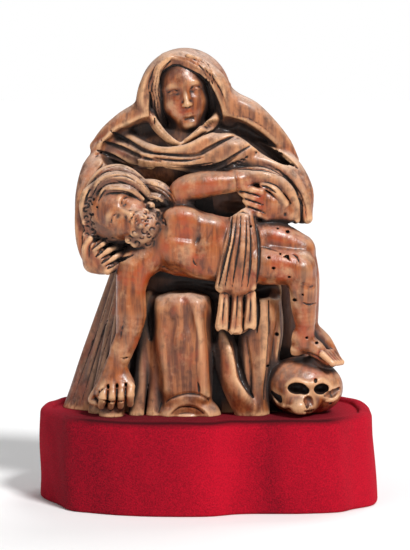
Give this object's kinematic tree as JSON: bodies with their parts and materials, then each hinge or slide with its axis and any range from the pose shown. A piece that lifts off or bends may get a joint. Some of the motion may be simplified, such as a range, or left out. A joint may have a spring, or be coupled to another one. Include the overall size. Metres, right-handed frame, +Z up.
{
  "type": "pieta statue",
  "caption": "Small carved boxwood pieta group, a veiled seated woman holding a dead man across her knees, on a fitted lobed velvet-covered base.",
  "frame": {"origin": "middle of the underside of the base", "axes": "+Z up, -Y to the front where the faces look, +X to the right of someone who faces the front"},
  "size_m": [0.1532, 0.0954, 0.2037],
  "materials": {
    "carved_boxwood": "old waxed patina, worm holes, dark hollows",
    "red_velvet": "short-pile velvet glued over a block"
  },
  "bodies": {
    "root": {"carved_group": "carved_boxwood", "velvet_base": "red_velvet"}
  },
  "joints": []
}
